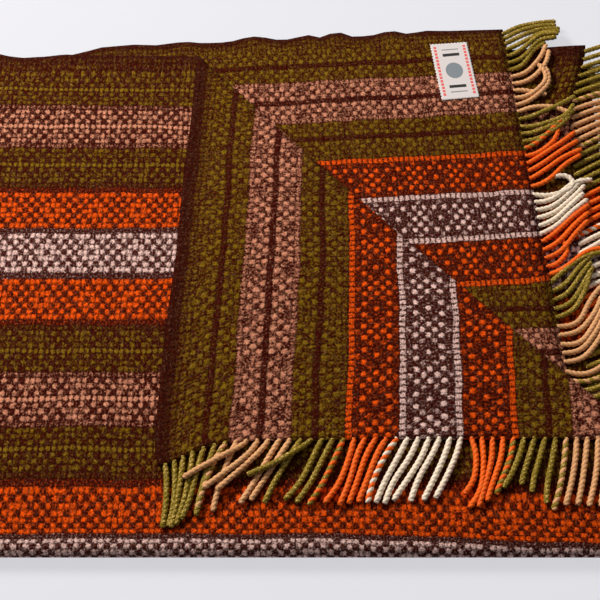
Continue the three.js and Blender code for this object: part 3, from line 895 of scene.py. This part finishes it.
def tube_faces(first, rings):
    """Walls of a tube, and a cap at each end of it."""
    number = first + np.arange(rings * PLY_SIDES).reshape(rings, PLY_SIDES)
    turned = np.roll(number, -1, axis=1)
    walls = np.stack([number[:-1], turned[:-1], turned[1:], number[1:]], -1).reshape(-1, 4)
    return [*walls.tolist(), number[0, ::-1].tolist(), number[-1].tolist()]


def fringe_object(fringe):
    """All strands of one stretch of fringe, as one mesh."""
    count = int((fringe["last"] - fringe["first"]) // STRAND_PITCH)
    pitch = (fringe["last"] - fringe["first"]) / count
    turns = np.array(fringe["turns"], float)
    points, faces, yarn_and_groove_shade = [], [], []
    total = 0
    for k in range(count):
        across = fringe["first"] + (k + 0.5) * pitch
        turn = {name: np.interp(across, turns[:, 0], turns[:, i]) for i, name in enumerate(TURN_COLUMNS)}
        turn["across"] = across
        turn["lift"] += chance.uniform(*LIFT_VARIES)
        length = STRAND_LENGTH * turn["length"] * chance.uniform(*LENGTH_VARIES)
        path, side = strand_path(fringe, turn, length, chance.normal(0, WAVE_VARIES))
        up = np.tile([0.0, 0.0, 1.0], (PATH_STEPS, 1))
        along_path = np.linspace(0, length, PATH_STEPS)
        taper = 1 - TIP_TAPER["by"] * smooth(along_path, length - TIP_TAPER["over"], length)
        taper = taper - ROOT_TAPER["by"] * (1 - smooth(along_path, 0, ROOT_TAPER["over"]))
        splay = 1 + TIP_SPLAY["by"] * smooth(along_path, length - TIP_SPLAY["over"], length)
        twist = 2 * math.pi * along_path / PLY_PITCH + chance.uniform(*TWIST_VARIES)
        column = across / CLOTH_WIDTH * WEAVE_COLUMNS
        for ply, reach in ((0, -0.5), (1, 0.5)):
            phase = twist + ply * math.pi
            tube = ply_tube(path, side, up, phase, PLY_RADIUS * taper, PLY_OFFSET * splay * taper)
            points.append(lifted(tube, np.full(len(tube), -1)))
            faces += tube_faces(total, PATH_STEPS)
            total += len(tube)
            tint = np.array(strand_colour(column + reach)) * chance.uniform(*TINT_VARIES)
            # Painted shade: the side of each ply that faces the other ply is darkened, as if shadowed in
            # the groove between them
            outside = np.cos(RING[None, :] - phase[:, None])
            painted_groove_shade = PAINTED_GROOVE_SHADE + (1 - PAINTED_GROOVE_SHADE) * smooth(outside, *PAINTED_GROOVE_SHADE_EDGE)
            yarn_and_groove_shade.append(tint[None, :] * painted_groove_shade.reshape(-1, 1))
    name = fringe["node"] + "_strands"
    made = mesh_object(name, np.concatenate(points), faces, yarn_and_groove_shade=np.concatenate(yarn_and_groove_shade))
    print(made.name, count, "strands")
    return made


# %% [markdown]
# The strands are the same wool as the cloth, combed and twisted tighter, so they look a little smoother and
# brighter. Their material reads the colour of each ply, with painted shade in the groove between the plies,
# and breaks it up with fine fibres along the yarn.

# %% Fringe material
YARN_ROUGHNESS = 0.55
YARN_SPECULAR = 0.2
FIBRES = dict(scale=900.0, shade=0.9, least=0.55)
SPOTS = dict(scale=560.0, edge=(0.54, 0.68), share=0.75)
FIBRE_RELIEF = dict(strength=0.5, depth=0.5 * MM)
yarn_material, tree, shader = matt_material("twisted yarn", YARN_ROUGHNESS, YARN_SPECULAR)
# The colour attribute holds each ply's colour together with its painted groove shade
ply_colour_and_groove_shade = tree.nodes.new("ShaderNodeAttribute")
ply_colour_and_groove_shade.attribute_name = "yarn_and_groove_shade"
where = tree.nodes.new("ShaderNodeTexCoord").outputs["Object"]
fibre = noise(tree, where, FIBRES["scale"], 2.0).outputs["Fac"]
bright = maths(tree, "MULTIPLY_ADD", fibre, FIBRES["shade"], FIBRES["least"])

# Pale spots show on the dull yarns and hardly on those with much red
spots = softly(tree, noise(tree, where, SPOTS["scale"], 1.0).outputs["Fac"], *SPOTS["edge"])
redness = tree.nodes.new("ShaderNodeSeparateColor")
put(tree, redness.inputs[0], ply_colour_and_groove_shade.outputs["Color"])
dull = maths(tree, "MULTIPLY", maths(tree, "SUBTRACT", 1.0, redness.outputs[0]), SPOTS["share"])
spotted = mixed(tree, maths(tree, "MULTIPLY", spots, dull), ply_colour_and_groove_shade.outputs["Color"], FRINGE_FLECK)
put(tree, shader.inputs["Base Color"], mixed(tree, 1.0, spotted, grey(tree, bright), "MULTIPLY"))
relief(tree, shader, fibre, **FIBRE_RELIEF)
print("yarn nodes", len(tree.nodes))

# %% Fringe pieces
for fringe in FRINGES:
    made = fringe_object(fringe)
    made.data.materials.append(yarn_material)
    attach(made, "root")
    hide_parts(fringe["node"])

# %% [markdown]
# A small label of white tape is sewn to the second layer near its far corner. Its edge is pinked, cut in
# small teeth, so that it does not fray. Its face has no words, only dashes along both sides, a few plain
# bars and an oval in the middle, as a ready-made blank label might.

# %% Sewn label
LABEL_FROM_END = 77.0
LABEL_ACROSS = 78.0
LABEL_WIDTH = 52.0
LABEL_HEIGHT = 99.0
LABEL_TURN = math.radians(-2.8)
LABEL_THICKNESS = 0.8
LABEL_GAP = 0.3
LABEL_TOOTH = 1.5
LABEL_COLUMNS = 24
LABEL_ROWS = 40
EDGE_LINE = 0.499
u_lines = np.linspace(-0.5, 0.5, LABEL_COLUMNS + 1)
v_lines = np.linspace(-0.5, 0.5, LABEL_ROWS + 1)
u, v = np.meshgrid(u_lines, v_lines, indexing="ij")
column_number, row_number = np.indices(u.shape)
inward_u = np.where((np.abs(u) > EDGE_LINE) & (row_number % 2 == 1), LABEL_TOOTH, 0.0)
inward_v = np.where((np.abs(v) > EDGE_LINE) & (column_number % 2 == 1), LABEL_TOOTH, 0.0)
label_u = u * LABEL_WIDTH - np.sign(u) * inward_u
label_v = v * LABEL_HEIGHT - np.sign(v) * inward_v
cos = math.cos(LABEL_TURN)
sin = math.sin(LABEL_TURN)
label_along = CLOTH_LENGTH - LABEL_FROM_END + label_u * cos - label_v * sin
label_across = LABEL_ACROSS + label_u * sin + label_v * cos
lower = CLOTH_THICKNESS / 2 + LABEL_GAP
label_points = np.concatenate([
    cloth_surface(label_along, label_across, -lower - LABEL_THICKNESS).reshape(-1, 3),
    cloth_surface(label_along, label_across, -lower).reshape(-1, 3),
])
label_uv = np.tile(np.column_stack([u.ravel() + 0.5, v.ravel() + 0.5]), (2, 1))
label_faces = np.concatenate(sheet_faces(*u.shape, turned_over=True))
label = mesh_object("white_label", label_points, label_faces, uv=label_uv)
print("label faces", len(label_faces))

# %% Label tape with plain bars and an oval
TAPE_WHITE = linear(212, 204, 201)
BAR_RED = linear(222, 96, 92)
BAR_DARK = linear(58, 56, 56)
BAR_GREY = linear(138, 138, 138)
OVAL_GREY = linear(128, 135, 141)
OVAL_MIDDLE = (0.5, 0.5)
OVAL_REACH = (0.23, 0.14)
OVAL_EDGE = (0.9, 1.0)
TAPE_ROUGHNESS = 0.6
DASH_SHARE = 0.72
BARS = named_rows(
    "colour left right top foot dashes",
    (BAR_RED, 0.08, 0.15, 0.06, 0.94, 17.0),
    (BAR_RED, 0.85, 0.92, 0.06, 0.94, 17.0),
    (BAR_GREY, 0.28, 0.72, 0.12, 0.14, 0.0),
    (BAR_DARK, 0.28, 0.72, 0.2, 0.25, 0.0),
    (BAR_DARK, 0.28, 0.72, 0.75, 0.8, 0.0),
    (BAR_GREY, 0.28, 0.72, 0.86, 0.88, 0.0),
)


def between(tree, value, low, high):
    past_low = maths(tree, "GREATER_THAN", value, low)
    return maths(tree, "SUBTRACT", past_low, maths(tree, "GREATER_THAN", value, high))


tape, tree, shader = matt_material("label tape", TAPE_ROUGHNESS)
split = tree.nodes.new("ShaderNodeSeparateXYZ")
put(tree, split.inputs[0], uv_place(tree))
colour = TAPE_WHITE
for bar in BARS:
    in_width = between(tree, split.outputs[0], bar["left"], bar["right"])
    inside = maths(tree, "MULTIPLY", in_width, between(tree, split.outputs[1], bar["top"], bar["foot"]))
    dash = maths(tree, "FRACT", maths(tree, "MULTIPLY", split.outputs[1], bar["dashes"]))
    inside = maths(tree, "MULTIPLY", inside, maths(tree, "LESS_THAN", dash, DASH_SHARE))
    colour = mixed(tree, inside, colour, bar["colour"])

# A plain oval in the middle
squares = []
for socket, middle, reach in zip(split.outputs, OVAL_MIDDLE, OVAL_REACH):
    share = maths(tree, "DIVIDE", maths(tree, "SUBTRACT", socket, middle), reach)
    squares.append(maths(tree, "MULTIPLY", share, share))
oval = maths(tree, "ADD", *squares)
colour = mixed(tree, softly(tree, oval, *OVAL_EDGE), OVAL_GREY, colour)
put(tree, shader.inputs["Base Color"], colour)
label.data.materials.append(tape)
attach(label, "root")
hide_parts("sewn_label")
print("label nodes", len(tree.nodes))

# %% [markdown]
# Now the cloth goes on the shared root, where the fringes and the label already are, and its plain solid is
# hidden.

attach(cloth, "root")
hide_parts("blanket")

# %% [markdown]
# The blanket lies on a plain white table under broad, soft studio light, so shadows are short and pale. The
# table glows a little, as a lit background does, which keeps it white beside the dark cloth. It is not
# part of the object.

# %% Table and room
FLOOR_SIZE = 160.0
TABLE_DROP = 0.5 * MM
TABLE_GREY = linear(116, 116, 118)
GLOW_COLOUR = linear(236, 236, 242)
TABLE_GLOW = 0.725
ROOM_COLOUR = linear(240, 243, 250)
ROOM_STRENGTH = 0.1
bpy.ops.mesh.primitive_plane_add(size=FLOOR_SIZE, location=(0, 0, -TABLE_DROP))
floor = bpy.context.object
floor.name = "white_table"
table_white, tree, shader = matt_material("table white")
shader.inputs["Base Color"].default_value = (*TABLE_GREY, 1.0)
shader.inputs["Emission Color"].default_value = (*GLOW_COLOUR, 1.0)
shader.inputs["Emission Strength"].default_value = TABLE_GLOW
floor.data.materials.append(table_white)

world = bpy.data.worlds.new("pale room")
bpy.context.scene.world = world
world.use_nodes = True
background = world.node_tree.nodes["Background"]
background.inputs["Color"].default_value = (*ROOM_COLOUR, 1.0)
background.inputs["Strength"].default_value = ROOM_STRENGTH
print("table", FLOOR_SIZE, "m wide")

# %% Lights
LIGHT_AIM = np.array([0.0, 0.1, 0.0])
LIGHTS = named_rows(
    "name place size power colour",
    ("window light", (-1.6, 1.3, 1.8), 0.9, 110.0, (255, 250, 244)),
    ("room fill", (0.7, 0.8, 2.3), 2.0, 11.5, (250, 250, 255)),
)
for light in LIGHTS:
    lamp = bpy.data.lights.new(light["name"], "AREA")
    lamp.shape = "SQUARE"
    lamp.size = light["size"]
    lamp.energy = light["power"]
    lamp.color = linear(*light["colour"])
    lamp_object = bpy.data.objects.new(light["name"], lamp)
    bpy.context.collection.objects.link(lamp_object)
    run = LIGHT_AIM - np.array(light["place"])
    tilt = math.atan2(math.hypot(run[0], run[1]), -run[2])
    lamp_object.location = light["place"]
    lamp_object.rotation_euler = (tilt, 0.0, math.atan2(-run[0], run[1]))
    print(light["name"], light["power"], "W")

# %% [markdown]
# The photograph was taken from above the near edge, looking steeply down. The camera's place, tilt and lens
# follow from the blanket's own sizes and where its edges fall in the picture.

# %% Camera
CAMERA_DOWN = math.radians(62.0)
CAMERA_DISTANCE = 1412.7
CAMERA_AIM_Z = 22.0
CAMERA_LENS = 70.19
CAMERA_SENSOR = 36.0
camera = bpy.data.cameras.new("camera")
camera.sensor_width = CAMERA_SENSOR
camera.lens = CAMERA_LENS
camera_object = bpy.data.objects.new("camera", camera)
bpy.context.collection.objects.link(camera_object)
aim = np.array([0.0, 0.0, CAMERA_AIM_Z]) + PLAN_SHIFT
away = CAMERA_DISTANCE * np.array([0.0, -math.cos(CAMERA_DOWN), math.sin(CAMERA_DOWN)])
camera_object.location = (aim + away) * MM
camera_object.rotation_euler = (math.pi / 2 - CAMERA_DOWN, 0.0, 0.0)
bpy.context.scene.camera = camera_object
bpy.context.scene.view_settings.view_transform = "Standard"
bpy.context.scene.view_settings.look = "None"
